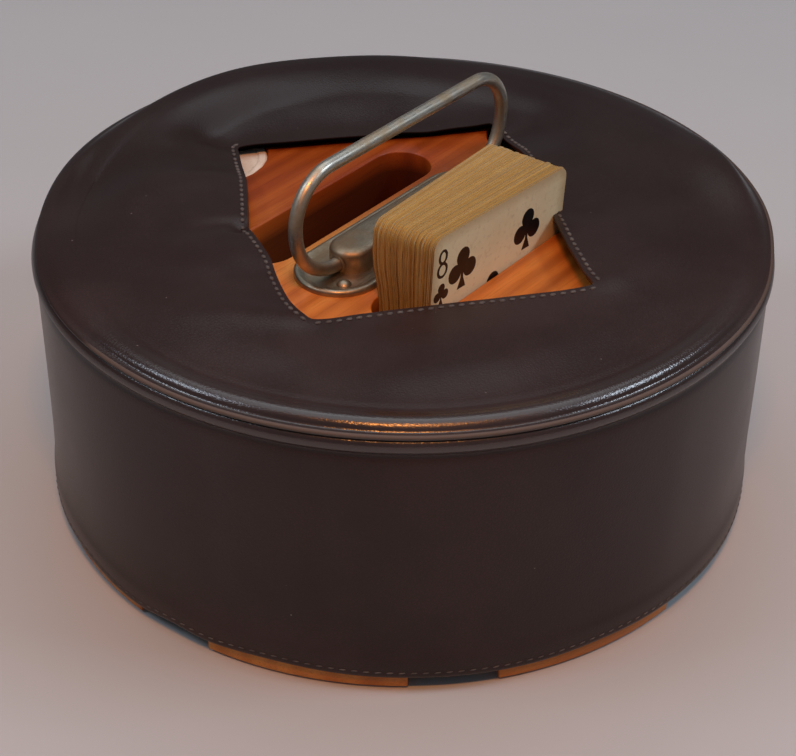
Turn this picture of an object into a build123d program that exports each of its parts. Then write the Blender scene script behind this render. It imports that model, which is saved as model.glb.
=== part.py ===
from build123d import *
import os
from math import radians, sin

# Round poker chip caddy: a wooden rack with eight chip wells and two card pockets, a wire
# bail handle, and a loose sewn vinyl cover with an opening for the handle and the cards.
# Millimetres, Z up, origin at the middle of the base. X runs along the handle and the
# card pockets, and Y across them.

# Wooden rack
rackRadius = 108.2
rackTop = 83.0
boardTop = 8.5            # the base board's top is the floor of every well
feltRadius = 95.0
feltTop = 0.8             # the board lies on the felt, so this is its lower face too
edgeBevel = 1.2

# Chips and their wells
wellCount = 8
wellCircle = 79.5         # radius of the circle that the wells stand on
wellRadius = 20.4
wellTurn = 1.5            # the wells are turned this many degrees from the card pockets
chipRadius = 19.6
chipThickness = 3.2
chipSides = 30            # repeated round pieces are prisms, to keep the mesh light
wellSides = 24
fingerWidth = 25.5
fingerDepth = 10.7        # how far the finger slot cuts into the base board's edge

# Card pockets
pocketLength = 83.2
pocketWidth = 19.0
pocketFloor = 16.0
pocketOffset = 26.2       # middle of a pocket to the middle of the rack

# Playing cards
cardWidth = 63.5
cardHeight = 88.9
cardThickness = 0.3
cardPitch = 0.302
cardCount = 52
cardCorner = 2.2
fanAngle = 0.94           # lean of the outermost cards, because the pack is loose
deckRoll = 2.5
deckYaw = -0.4
deckShift = -3.3          # foot of the pack along the pocket; its top leans back to the middle
cardStagger = 0.35

# Bail handle
wireRadius = 2.25
wireSides = 10
bailHalfWidth = 48.4
bailHeight = 33.4
bailLowerBend = 18.0
bailUpperBend = 14.5
bailEnd = 25.0            # where the wire ends inside the tunnel
bailHeadRadius = 3.0
bailHeadLength = 1.5
pivotZ = 86.5
pivotBore = 2.35

# Handle plate
plateHalfLength = 43.0
plateHalfWidth = 13.3
plateThickness = 1.0
plateBeadWidth = 2.6
plateBeadHeight = 2.0
plateBeadBevel = 0.7
plateEndSides = 12        # flats round each end of the plate
tunnelHalfLength = 30.6
tunnelHalfWidth = 6.4
tunnelTop = 91.0
tunnelWall = 1.2
tunnelBevel = 1.4
nailX, nailY = 34.8, 6.0
nailHeadRadius = 2.3
nailHeadHeight = 1.3
nailShankRadius = 1.1
nailLength = 14.0
nailSides = 8

# Screws that hold the base board
screwCircle = 46.0
screwRadius = 2.0
screwHeadRadius = 4.0
screwHeadHeight = 2.3
screwLength = 24.0
screwSides = 8
fitGap = 0.05

# Cover
panelWall = 1.0
sideWall = 0.7
coverInner = 108.5
coverOuter = coverInner + sideWall
coverTop = 90.5
hemBottom = 3.4
hemOuter = 110.0
hemHeight = 8.0
lipRadius = 109.9         # raw edges of the rim seam, standing out between two ridges
lipBottom, lipMiddle, lipTop = 87.0, 87.7, 88.4
seamOverlap = 12.0        # the band's ends lap by this width
seamTurn = 38.0           # where round the band the lap is
openingCorners = [(2, 68), (65, 14), (3, -69), (-63, -17)]
rightBow = 5.0            # the cards push this edge of the opening outwards
leftBow = 6.0
facingWidth = 8.0
facingThickness = 0.6


def bowed(start, end, bow=0.0):
    """Points from start up to end, bulging by bow away from the cover's centre."""
    start, end = Vector(*start), Vector(*end)
    across = (end - start).rotate(Axis.Z, 90).normalized()
    if across.dot(start + end) < 0:
        across = across * -1
    shares = (0, 0.25, 0.5, 0.75) if bow else (0,)
    return [start + (end - start) * share + across * (4 * bow * share * (1 - share))
            for share in shares]


def opening_face():
    backLeft, backRight, frontRight, frontLeft = openingCorners
    outline = (bowed(backLeft, backRight) + bowed(backRight, frontRight, rightBow)
               + bowed(frontRight, frontLeft) + bowed(frontLeft, backLeft, leftBow))
    return make_face(Polyline(*outline, close=True))


def around(radius, count, turn=0.0):
    return PolarLocations(radius, count, start_angle=turn)


def finger_slots(bottom, top, reach):
    """Eight radial slots, open at the rim, that start reach from the centre."""
    length = rackRadius + 5 - reach
    slot = Pos(length / 2, 0, bottom) * extrude(Rectangle(length, fingerWidth), top - bottom)
    return [place * slot for place in around(reach, wellCount, wellTurn)]


def screw(gap=0.0):
    """A countersunk wood screw, driven upwards through the base board."""
    head = extrude(RegularPolygon(screwHeadRadius + gap, screwSides), screwHeadHeight, taper=40)
    shank = extrude(RegularPolygon(screwRadius + gap, screwSides), screwLength + gap)
    return Pos(0, 0, feltTop) * (head + shank)


def screws(gap=0.0):
    return [place * screw(gap) for place in around(screwCircle, 4)]


def nail(gap=0.0):
    """A round-headed nail whose head sits on the plate."""
    seat = rackTop + plateThickness
    shank = Pos(0, 0, seat - nailLength) * extrude(
        RegularPolygon(nailShankRadius + gap, nailSides), nailLength)
    if gap:
        return shank
    head = Pos(0, 0, seat) * extrude(RegularPolygon(nailHeadRadius, nailSides), nailHeadHeight)
    return shank + chamfer(head.edges().group_by(Axis.Z)[-1], 0.8)


def nails(gap=0.0):
    places = [(x, y) for x in (-nailX, nailX) for y in (-nailY, nailY)]
    return [Pos(x, y, 0) * nail(gap) for x, y in places]


def rack_block():
    height = rackTop - boardTop
    body = Pos(0, 0, boardTop) * extrude(Circle(rackRadius), height)
    body = chamfer(body.edges().group_by(Axis.Z)[-1], edgeBevel)
    well = Pos(0, 0, boardTop) * extrude(RegularPolygon(wellRadius, wellSides), height)
    body -= [place * well for place in around(wellCircle, wellCount, wellTurn)]
    body -= finger_slots(boardTop, rackTop, wellCircle)
    pocket = extrude(SlotOverall(pocketLength, pocketWidth), rackTop - pocketFloor)
    body -= [Pos(0, side * pocketOffset, pocketFloor) * pocket for side in (-1, 1)]
    return body - screws(fitGap) - nails(fitGap)


def base_board():
    body = Pos(0, 0, feltTop) * extrude(Circle(rackRadius), boardTop - feltTop)
    return body - finger_slots(feltTop, boardTop, rackRadius - fingerDepth) - screws(fitGap)


def base_felt():
    return extrude(Circle(feltRadius), feltTop)


def chip_stack(number, chips):
    """The chips of one well, as one column."""
    column = extrude(RegularPolygon(chipRadius, chipSides), chipThickness * chips)
    return around(wellCircle, wellCount, wellTurn).locations[number] * Pos(0, 0, boardTop) * column


def card(index):
    """One card of the pack, counted from the front of the pocket."""
    fromMiddle = index - (cardCount - 1) / 2
    outline = Rectangle(cardWidth, cardHeight)
    outline = chamfer(outline.vertices(), cardCorner)
    sheet = Plane.XZ * (Pos(0, cardHeight / 2, -cardThickness / 2) * extrude(outline, cardThickness))
    lean = -fanAngle * fromMiddle / (cardCount / 2)
    stagger = cardStagger * sin(1.7 * index)
    return Pos(stagger, fromMiddle * cardPitch, 0) * Rot(lean, 0, 0) * sheet


def seated(cards):
    """Cards standing on one corner in the front pocket."""
    rise = cardWidth / 2 * sin(radians(deckRoll)) + 0.1
    place = Pos(deckShift, -pocketOffset, pocketFloor + rise) * Rot(0, 0, deckYaw)
    place = place * Rot(0, deckRoll, 0)
    return Compound([place * one for one in cards])


def bail():
    """The bent wire, with an upset head inside the tunnel at each end."""
    corners = [(-bailEnd, 0), (-bailHalfWidth, 0), (-bailHalfWidth, bailHeight),
               (bailHalfWidth, bailHeight), (bailHalfWidth, 0), (bailEnd, 0)]
    bends = [bailLowerBend, bailUpperBend, bailUpperBend, bailLowerBend]
    path = Plane.XZ * FilletPolyline(*corners, radius=bends)
    section = Plane(origin=path @ 0, z_dir=path % 0) * RegularPolygon(wireRadius, wireSides)
    wire = sweep(section, path)
    head = extrude(Plane.YZ * RegularPolygon(bailHeadRadius, wireSides), bailHeadLength / 2, both=True)
    wire += [Pos(side * bailEnd, 0, 0) * head for side in (-1, 1)]
    return Pos(0, 0, pivotZ) * wire


def flat_slot(halfLength, halfWidth):
    """A straight-sided outline with an end of many flats at each side."""
    end = RegularPolygon(halfWidth, 2 * plateEndSides)
    middle = halfLength - halfWidth
    return Pos(-middle, 0) * end + Pos(middle, 0) * end + Rectangle(2 * middle, 2 * halfWidth)


def raised(outline, height, bevel):
    """The outline pulled up, with its top edges cut off."""
    solid = extrude(outline, height)
    return chamfer(solid.edges().group_by(Axis.Z)[-1], bevel)


def handle_plate():
    """A stamped plate with a rolled edge and a tunnel that traps both ends of the bail."""
    outline = flat_slot(plateHalfLength, plateHalfWidth)
    inside = flat_slot(plateHalfLength - plateBeadWidth, plateHalfWidth - plateBeadWidth)
    bead = raised(outline - inside, plateBeadHeight, plateBeadBevel)
    height = tunnelTop - rackTop
    tunnel = raised(flat_slot(tunnelHalfLength, tunnelHalfWidth), height, tunnelBevel)
    hollow = raised(flat_slot(tunnelHalfLength - tunnelWall, tunnelHalfWidth - tunnelWall),
                    height - tunnelWall, tunnelBevel / 2)
    bore = extrude(Plane.YZ * Circle(pivotBore), tunnelHalfLength + 1, both=True)
    plate = extrude(outline, plateThickness) + bead + tunnel - hollow
    plate -= Pos(0, 0, pivotZ - rackTop) * bore
    return Pos(0, 0, rackTop) * plate - nails(fitGap)


def spun(*points):
    """Turns a closed outline of (radius, height) points about the Z axis."""
    return revolve(Plane.XZ * make_face(Polyline(*points, close=True)), Axis.Z)


def cover_top_panel():
    """Flat over the chips, with a shallow valley inside its rolled edge."""
    under = coverTop - panelWall
    panel = spun((0, coverTop), (93, coverTop), (101.4, 89.4), (106.4, 90.3), (lipRadius, lipTop),
                 (lipRadius, lipMiddle), (101.4, 88.3), (93, under), (0, under))
    return panel - Pos(0, 0, under - 3) * extrude(opening_face(), 10)


def cover_opening_facing():
    """The strip of vinyl under the panel that the opening's edge is sewn through."""
    top = coverTop - panelWall
    ring = offset(opening_face(), facingWidth, kind=Kind.INTERSECTION) - opening_face()
    return Pos(0, 0, top - facingThickness) * extrude(ring, facingThickness)


def cover_side_band():
    """The wall with its rolled top edge, and its foot widened by the turned-in hem."""
    return spun((hemOuter, hemBottom), (hemOuter, hemBottom + hemHeight),
                (coverOuter, hemBottom + hemHeight + 6), (coverOuter, 80.2), (coverOuter + 0.3, 84.2),
                (coverOuter - 0.2, 86.6), (lipRadius, lipBottom), (lipRadius, lipMiddle),
                (106.0, lipMiddle), (coverInner, 85.0), (coverInner, hemBottom))


def cover_back_seam():
    """The lap where the band's two ends are sewn together."""
    bottom, top = hemBottom + hemHeight + 6, 79.5
    ring = spun((coverOuter, bottom), (coverOuter + 0.7, bottom + 0.6),
                (coverOuter + 0.7, top - 0.6), (coverOuter, top))
    patch = Pos(coverOuter, 0, 0) * extrude(Rectangle(8, seamOverlap), 100)
    return Rot(0, 0, seamTurn) * (ring & patch)


def main():
    # well, counted round from the +X side, and how many chips stand in it
    stacks = {"white_chips_1": (2, 23), "white_chips_2": (4, 25), "white_chips_3": (6, 20),
              "white_chips_4": (0, 20), "red_chips_1": (1, 20), "red_chips_2": (5, 25),
              "blue_chips_1": (3, 25), "blue_chips_2": (7, 25)}
    parts = {
        "base_felt": base_felt(),
        "base_board": base_board(),
        "base_screws": Compound(screws()),
        "rack_block": rack_block(),
        "handle_plate": handle_plate(),
        "handle_nails": Compound(nails()),
        "bail": bail(),
        "face_card": seated([card(0)]),
        "card_pack": seated([card(index) for index in range(1, cardCount)]),
        "cover_top_panel": cover_top_panel(),
        "cover_opening_facing": cover_opening_facing(),
        "cover_side_band": cover_side_band(),
        "cover_back_seam": cover_back_seam(),
    }
    for name, (number, chips) in stacks.items():
        parts[name] = chip_stack(number, chips)
    os.makedirs("parts", exist_ok=True)
    for name, part in parts.items():
        export_step(part, f"parts/{name}.step")
        print(name, round(part.volume / 1000, 2), "cm3")


main()
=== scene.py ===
import math
import random
import bpy
import bmesh
from mathutils import Matrix, Vector, noise


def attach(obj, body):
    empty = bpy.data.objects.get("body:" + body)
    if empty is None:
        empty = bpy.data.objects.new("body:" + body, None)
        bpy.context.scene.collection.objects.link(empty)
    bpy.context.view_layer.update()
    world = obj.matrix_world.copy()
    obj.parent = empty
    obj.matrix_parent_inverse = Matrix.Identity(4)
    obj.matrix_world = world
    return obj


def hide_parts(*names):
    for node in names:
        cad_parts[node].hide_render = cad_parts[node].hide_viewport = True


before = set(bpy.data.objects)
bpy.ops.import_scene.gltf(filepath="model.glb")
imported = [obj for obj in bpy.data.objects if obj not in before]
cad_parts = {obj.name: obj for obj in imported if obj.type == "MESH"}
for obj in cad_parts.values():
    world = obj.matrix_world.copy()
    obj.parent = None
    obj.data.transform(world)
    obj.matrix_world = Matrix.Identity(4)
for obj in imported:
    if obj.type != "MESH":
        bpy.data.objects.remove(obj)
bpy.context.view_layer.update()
random.seed(8)
mm = 0.001                  # the dictionaries hold millimetres, and the meshes are in metres
mergeGap = 0.002 * mm
backWay = (0.64, 0.77, 0.0)     # level direction from the middle to the opening's back edge


# Tools for meshes
def polar(radius, angle, height=0.0):
    return Vector((radius * math.cos(angle), radius * math.sin(angle), height))


def makePiece(name, bm, materials, body, *nodes, sharp=35, slot=None):
    mesh = bpy.data.meshes.new(name)
    bm.to_mesh(mesh)
    bm.free()
    mesh.shade_smooth()
    mesh.set_sharp_from_angle(angle=math.radians(sharp))
    piece = bpy.data.objects.new(name, mesh)
    bpy.context.scene.collection.objects.link(piece)
    for material in materials:
        mesh.materials.append(material)
    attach(piece, body)
    if nodes:
        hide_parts(*nodes)
    return piece


def addModifier(piece, kind, **settings):
    modifier = piece.modifiers.new(kind.title(), kind)
    for key, value in settings.items():
        setattr(modifier, key, value)


def vertsIn(made):
    return [v for v in made if isinstance(v, bmesh.types.BMVert)]


def edgesIn(made):
    return [e for e in made if isinstance(e, bmesh.types.BMEdge)]


def edgesAround(verts):
    return list({e for v in verts for e in v.link_edges})


def turnUpwards(bm):
    bmesh.ops.recalc_face_normals(bm, faces=bm.faces)
    if sum(face.normal.z for face in bm.faces) < 0:
        bmesh.ops.reverse_faces(bm, faces=bm.faces)


def spinProfile(bm, points, steps):
    corners = [bm.verts.new((r * mm, 0, z * mm)) for r, z in points]
    edges = [bm.edges.new(pair) for pair in zip(corners, corners[1:])]
    bmesh.ops.spin(bm, geom=corners + edges, cent=(0, 0, 0), axis=(0, 0, 1),
                   angle=2 * math.pi, steps=steps, use_merge=True, use_duplicate=False)
    bmesh.ops.remove_doubles(bm, verts=bm.verts, dist=mergeGap)
    bmesh.ops.recalc_face_normals(bm, faces=bm.faces)


def copyInto(bm, template, matrix, material=0):
    scratch = bpy.data.meshes.new("scratch")
    template.to_mesh(scratch)
    scratch.transform(matrix)
    before = len(bm.faces)
    bm.from_mesh(scratch)
    bpy.data.meshes.remove(scratch)
    bm.faces.ensure_lookup_table()
    if material is not None:
        for face in bm.faces[before:]:
            face.material_index = material


def fromCad(node, bevelWidth):
    bm = bmesh.new()
    bm.from_mesh(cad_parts[node].data)
    bmesh.ops.remove_doubles(bm, verts=bm.verts, dist=0.005 * mm)
    bmesh.ops.dissolve_limit(bm, angle_limit=math.radians(0.8), verts=bm.verts, edges=bm.edges)
    sharp = [e for e in bm.edges if len(e.link_faces) == 2
             and e.calc_face_angle(0) > math.radians(40)]
    bmesh.ops.bevel(bm, geom=sharp, offset=bevelWidth * mm, offset_type="OFFSET",
                    affect="EDGES", segments=2, profile=0.5, material=-1, clamp_overlap=True)
    return bm


def smoothStep(low, high, value):
    share = min(max((value - low) / (high - low), 0), 1)
    return share * share * (3 - 2 * share)


# Tools for materials
def feed(tree, socket, value):
    if isinstance(value, bpy.types.NodeSocket):
        tree.links.new(value, socket)
    else:
        socket.default_value = value


def addNode(tree, kind, values=None, **settings):
    made = tree.nodes.new("ShaderNode" + kind)
    for key, value in settings.items():
        setattr(made, key, value)
    for key, value in (values or {}).items():
        feed(tree, made.inputs[key], value)
    return made


def addRamp(tree, source, *stops):
    ramp = addNode(tree, "ValToRGB", {0: source})
    elements = ramp.color_ramp.elements
    while len(elements) < len(stops):
        elements.new(0.5)
    for element, (place, color) in zip(elements, stops):
        element.position = place
        element.color = color
    return ramp.outputs["Color"]


def scaleMap(tree, source, low, high, newLow=0.0, newHigh=1.0, curve="LINEAR"):
    made = addNode(tree, "MapRange", {"Value": source, "From Min": low, "From Max": high,
                                      "To Min": newLow, "To Max": newHigh},
                   interpolation_type=curve)
    return made.outputs["Result"]


def mixColor(tree, share, first, second, blend="MIX"):
    made = addNode(tree, "Mix", data_type="RGBA", blend_type=blend)
    for key, value in ((0, share), (6, first), (7, second)):
        feed(tree, made.inputs[key], value)
    return made.outputs[2]


def calculate(tree, operation, *values):
    return addNode(tree, "Math", dict(enumerate(values)), operation=operation).outputs[0]


def addBump(tree, height, distance, strength=1.0, invert=False):
    made = addNode(tree, "Bump", {"Height": height, "Distance": distance, "Strength": strength},
                   invert=invert)
    return made.outputs["Normal"]


def readAttribute(tree, name):
    return addNode(tree, "Attribute", attribute_name=name).outputs["Fac"]


def stretchedNoise(tree, place, stretch, **values):
    mapped = addNode(tree, "Mapping", {"Vector": place, "Scale": stretch}).outputs[0]
    return addNode(tree, "TexNoise", {"Vector": mapped, "Scale": 1.0, **values}).outputs["Fac"]


def fadeAlong(tree, place, direction, near, far):
    # from 0 to 1 between two distances along a level direction
    reach = addNode(tree, "VectorMath", {0: place, 1: direction}, operation="DOT_PRODUCT")
    return scaleMap(tree, reach.outputs["Value"], near, far, curve="SMOOTHSTEP")


def newMaterial(name):
    material = bpy.data.materials.new(name)
    material.use_nodes = True
    tree = material.node_tree
    tree.nodes.clear()
    shader = addNode(tree, "BsdfPrincipled")
    addNode(tree, "OutputMaterial", {"Surface": shader.outputs[0]})
    place = addNode(tree, "TexCoord").outputs["Object"]
    return material, tree, shader, place


def setShader(tree, shader, **values):
    for key, value in values.items():
        feed(tree, shader.inputs[key.replace("_", " ")], value)


def newGroup(name, inputs, outputs):
    group = bpy.data.node_groups.new(name, "ShaderNodeTree")
    kinds = {"value": "NodeSocketFloat", "vector": "NodeSocketVector"}
    for socket, kind, start in inputs:
        made = group.interface.new_socket(socket, in_out="INPUT", socket_type=kinds[kind])
        if start is not None:
            made.default_value = start
    for socket, kind in outputs:
        group.interface.new_socket(socket, in_out="OUTPUT", socket_type=kinds[kind])
    start = group.nodes.new("NodeGroupInput")
    end = group.nodes.new("NodeGroupOutput")
    return group, start.outputs, end.inputs


def useGroup(tree, group, **values):
    made = tree.nodes.new("ShaderNodeGroup")
    made.node_tree = group
    for key, value in values.items():
        feed(tree, made.inputs[key], value)
    return made.outputs


# Shared effects: a pebbled grain, and dust or wear in soft patches
def buildGrainGroup():
    group, given, wanted = newGroup("pebbleGrain", [
        ("Place", "vector", None), ("Scale", "value", 900.0), ("Depth", "value", 0.05)],
        [("Normal", "vector"), ("Mask", "value")])
    cells = addNode(group, "TexVoronoi", {"Vector": given["Place"], "Scale": given["Scale"],
                                          "Randomness": 1.0}, feature="DISTANCE_TO_EDGE")
    fine = addNode(group, "TexNoise", {"Vector": given["Place"], "Scale": 2600.0, "Detail": 3.0})
    pebble = scaleMap(group, cells.outputs["Distance"], 0.0, 0.25)
    height = calculate(group, "MULTIPLY_ADD", fine.outputs["Fac"], 0.35, pebble)
    feed(group, wanted["Normal"], addBump(group, height, given["Depth"]))
    feed(group, wanted["Mask"], pebble)
    return group


def buildPatchGroup():
    group, given, wanted = newGroup("softPatches", [
        ("Place", "vector", None), ("Scale", "value", 30.0), ("Low", "value", 0.4),
        ("High", "value", 0.65)], [("Mask", "value")])
    cloud = addNode(group, "TexNoise", {"Vector": given["Place"], "Scale": given["Scale"],
                                        "Detail": 5.0, "Roughness": 0.6})
    mask = scaleMap(group, cloud.outputs["Fac"], given["Low"], given["High"], curve="SMOOTHSTEP")
    feed(group, wanted["Mask"], mask)
    return group


grainGroup = buildGrainGroup()
patchGroup = buildPatchGroup()


def softPatches(tree, place, scale, low, high):
    return useGroup(tree, patchGroup, Place=place, Scale=scale, Low=low, High=high)["Mask"]


# Vinyl: dark brown, embossed, a little dusty, and darker away from the front as painted shade
vinylLook = {"dark": (0.026, 0.0130, 0.0120, 1), "light": (0.036, 0.0200, 0.0185, 1),
             "clean": (0.010, 0.006, 0.006, 1), "rawEdge": (0.085, 0.060, 0.048, 1),
             "dust": (0.22, 0.20, 0.19, 1), "under": (0.002, 0.0015, 0.0015, 1),
             "front": (-0.788, -0.616, 0.0)}


def buildVinyl():
    material, tree, shader, place = newMaterial("brownVinyl")
    patches = softPatches(tree, place, 22.0, 0.35, 0.7)
    color = mixColor(tree, patches, vinylLook["dark"], vinylLook["light"])
    grain = useGroup(tree, grainGroup, Place=place, Scale=1050.0, Depth=0.00002)
    color = mixColor(tree, scaleMap(tree, grain["Mask"], 0.0, 1.0, 0.25, 0.0), color,
                     vinylLook["clean"])
    specks = addNode(tree, "TexVoronoi", {"Vector": place, "Scale": 190.0}, feature="F1")
    speck = calculate(tree, "LESS_THAN", specks.outputs["Distance"], 0.05)
    chosen = addNode(tree, "SeparateColor", {0: specks.outputs["Color"]})
    speck = calculate(tree, "MULTIPLY", speck,
                      calculate(tree, "GREATER_THAN", chosen.outputs[0], 0.86))
    color = mixColor(tree, calculate(tree, "MULTIPLY", speck, 0.6), color, vinylLook["dust"])
    # painted shade: away from the front the colour is mixed towards the dark clean colour, standing
    # in for the sheen that is missing at the back
    worn = fadeAlong(tree, place, vinylLook["front"], -0.10, 0.07)
    color = mixColor(tree, scaleMap(tree, worn, 0.0, 1.0, 0.55, 0.0), color, vinylLook["clean"])
    edge = scaleMap(tree, readAttribute(tree, "rawEdge"), 0.55, 0.8)
    color = mixColor(tree, edge, color, vinylLook["rawEdge"])
    # painted shade: black on the rolled-under edge of the opening and on the whole facing, with its
    # gloss taken away
    under = readAttribute(tree, "underEdge")
    color = mixColor(tree, under, color, vinylLook["under"])
    # the stretched ridges along the seam are smoother
    ridge = readAttribute(tree, "ridge")
    rough = scaleMap(tree, patches, 0.0, 1.0, 0.28, 0.34)
    rough = calculate(tree, "SUBTRACT", rough, calculate(tree, "MULTIPLY", ridge, 0.07))
    rough = calculate(tree, "MAXIMUM", rough, calculate(tree, "MULTIPLY", edge, 0.8))
    gloss = calculate(tree, "MULTIPLY_ADD", ridge, 0.67, 0.33)
    gloss = calculate(tree, "MULTIPLY", gloss, calculate(tree, "SUBTRACT", 1.0, under))
    setShader(tree, shader, Base_Color=color, Roughness=rough, Normal=grain["Normal"],
              Specular_IOR_Level=gloss)
    return material


def buildBacking():
    material, tree, shader, place = newMaterial("clothBacking")
    weave = addNode(tree, "TexBrick", {"Vector": place, "Scale": 900.0,
                                       "Color1": (0.20, 0.17, 0.14, 1),
                                       "Color2": (0.15, 0.125, 0.105, 1),
                                       "Mortar": (0.06, 0.05, 0.045, 1), "Mortar Size": 0.03})
    fuzz = addNode(tree, "TexNoise", {"Vector": place, "Scale": 400.0, "Detail": 6.0})
    color = mixColor(tree, 0.45, weave.outputs["Color"], fuzz.outputs["Color"], "SOFT_LIGHT")
    setShader(tree, shader, Base_Color=color, Roughness=0.9,
              Normal=addBump(tree, weave.outputs["Fac"], 0.0001, 0.6, invert=True))
    return material


threadLook = {"dark": (0.085, 0.075, 0.072, 1), "light": (0.15, 0.138, 0.130, 1),
              "between": (0.035, 0.030, 0.028, 1)}


def buildThread():
    material, tree, shader, place = newMaterial("greyThread")
    twist = addNode(tree, "TexWave", {"Vector": place, "Scale": 900.0, "Distortion": 2.0},
                    bands_direction="DIAGONAL").outputs["Fac"]
    dirt = softPatches(tree, place, 90.0, 0.35, 0.7)
    color = mixColor(tree, dirt, threadLook["dark"], threadLook["light"])
    color = mixColor(tree, scaleMap(tree, twist, 0, 1, 0.35, 0), color, threadLook["between"])
    setShader(tree, shader, Base_Color=color, Roughness=0.75,
              Normal=addBump(tree, twist, 0.0001, 0.8))
    return material


# Wood: orange-brown, with its grain along the card pockets, under a thin worn varnish
woodLook = {"pale": (0.78, 0.31, 0.065, 1), "middle": (0.62, 0.200, 0.034, 1),
            "cloud": (0.42, 0.12, 0.022, 1), "dark": (0.32, 0.080, 0.011, 1),
            "pocketShade": (0.030, 0.006, 0.0015, 1), "backShade": (0.50, 0.29, 0.16, 1)}


def buildWood(name, shade=1.0, turn=0.0, inRack=True):
    material, tree, shader, place = newMaterial(name)
    slope = addNode(tree, "Mapping", {"Vector": place, "Rotation": (0.03, 0.02, turn),
                                      "Location": (0.013, 0.031, -0.01)}).outputs[0]
    warp = stretchedNoise(tree, slope, (3.2, 42.0, 38.0), Scale=1.3, Detail=3.0, Distortion=0.6)
    banded = addNode(tree, "Mapping", {"Vector": slope, "Scale": (3.0, 46.0, 40.0)}).outputs[0]
    rings = addNode(tree, "TexWave", {"Vector": banded, "Scale": 1.0, "Distortion": 4.0,
                                      "Detail": 3.0, "Detail Scale": 0.5},
                    bands_direction="Y", wave_profile="SIN").outputs["Fac"]
    pores = stretchedNoise(tree, slope, (40.0, 1500.0, 1500.0), Detail=4.0, Roughness=0.7)
    streak = calculate(tree, "MULTIPLY_ADD", warp, 0.85, calculate(tree, "MULTIPLY", rings, 0.16))
    color = addRamp(tree, streak, (0.30, woodLook["pale"]), (0.52, woodLook["middle"]),
                    (0.78, woodLook["dark"]))
    color = mixColor(tree, scaleMap(tree, pores, 0.36, 0.5, 0.4, 0.0), color, woodLook["dark"])
    cloud = softPatches(tree, place, 14.0, 0.3, 0.75)
    color = mixColor(tree, scaleMap(tree, cloud, 0, 1, 0.0, 0.3), color, woodLook["cloud"])
    if inRack:
        # painted shade: darker down in the pockets and wells, and under the cover towards the back
        height = addNode(tree, "SeparateXYZ", {0: place}).outputs["Z"]
        pocketShadeShare = scaleMap(tree, height, 0.0826, 0.076, 0.0, 0.85)
        color = mixColor(tree, pocketShadeShare, color, woodLook["pocketShade"])
        # painted shade: the wood is multiplied by a darker colour towards the back, where the
        # cover's back edge shades it
        far = fadeAlong(tree, place, backWay, -0.005, 0.036)
        color = mixColor(tree, far, color, woodLook["backShade"], "MULTIPLY")
    color = mixColor(tree, 1.0, color, (shade, shade, shade, 1), "MULTIPLY")
    setShader(tree, shader, Base_Color=color, Roughness=scaleMap(tree, cloud, 0.0, 1.0, 0.34, 0.5),
              Normal=addBump(tree, pores, 0.00006, 0.5), Specular_IOR_Level=0.35)
    return material


# Metal: tarnished nickel, browner in soft patches, with fine scratches
metalLook = {"agedNickel": ((0.56, 0.535, 0.47, 1), (0.42, 0.34, 0.23, 1), 0.36),
             "dullNickel": ((0.43, 0.37, 0.28, 1), (0.30, 0.22, 0.14, 1), 0.38),
             "screwSteel": ((0.55, 0.54, 0.50, 1), (0.30, 0.24, 0.19, 1), 0.35)}


def buildMetal(name):
    clean, tarnish, rough = metalLook[name]
    material, tree, shader, place = newMaterial(name)
    patches = softPatches(tree, place, 95.0, 0.38, 0.66)
    color = mixColor(tree, patches, clean, tarnish)
    scratch = stretchedNoise(tree, place, (300.0, 2600.0, 2600.0), Detail=4.0)
    level = calculate(tree, "ADD", scaleMap(tree, patches, 0, 1, rough, rough + 0.17),
                      scaleMap(tree, scratch, 0.35, 0.7, -0.07, 0.09))
    setShader(tree, shader, Base_Color=color, Metallic=1.0, Roughness=level,
              Normal=addBump(tree, scratch, 0.00003, 0.35))
    return material


# Cards: aged stock, dirtier at the edges of the pack than on the faces
cardLook = {"edges": [(0.25, (0.075, 0.026, 0.004, 1)), (0.45, (0.24, 0.098, 0.014, 1)),
                      (0.65, (0.40, 0.210, 0.045, 1)), (0.88, (0.56, 0.37, 0.12, 1))],
            "topEdge": (0.42, 0.29, 0.075, 1), "clean": (0.84, 0.79, 0.52, 1),
            "stained": (0.76, 0.67, 0.41, 1), "border": (0.46, 0.33, 0.15, 1),
            "fleck": (0.42, 0.31, 0.17, 1), "backDark": (0.32, 0.035, 0.03, 1),
            "backLight": (0.45, 0.25, 0.17, 1), "backBorder": (0.60, 0.49, 0.30, 1),
            "backWorn": (0.50, 0.38, 0.22, 1)}


def buildCardEdge():
    material, tree, shader, place = newMaterial("cardEdges")
    grime = stretchedNoise(tree, place, (160.0, 900.0, 160.0), Detail=6.0, Roughness=0.7)
    share = calculate(tree, "MULTIPLY_ADD", readAttribute(tree, "cardTone"), 0.4,
                      calculate(tree, "MULTIPLY", grime, 0.78))
    color = addRamp(tree, share, *cardLook["edges"])
    height = addNode(tree, "SeparateXYZ", {0: place}).outputs["Z"]
    top = scaleMap(tree, height, 0.1015, 0.1040, 0.0, 0.55)
    color = mixColor(tree, top, color, cardLook["topEdge"])
    setShader(tree, shader, Base_Color=color, Roughness=0.8, Specular_IOR_Level=0.2)
    return material


def buildCardFace():
    material, tree, shader, place = newMaterial("cardFace")
    stain = softPatches(tree, place, 45.0, 0.35, 0.8)
    color = mixColor(tree, stain, cardLook["clean"], cardLook["stained"])
    border = scaleMap(tree, readAttribute(tree, "cardBorder"), 0.0, 1.0, 0.0, 0.6)
    color = mixColor(tree, border, color, cardLook["border"])
    fleck = addNode(tree, "TexNoise", {"Vector": place, "Scale": 700.0, "Detail": 4.0})
    fleck = fleck.outputs["Fac"]
    color = mixColor(tree, scaleMap(tree, fleck, 0.55, 0.75, 0.0, 0.3), color, cardLook["fleck"])
    setShader(tree, shader, Base_Color=color, Roughness=0.5,
              Normal=addBump(tree, fleck, 0.00004, 0.4))
    return material


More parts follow.
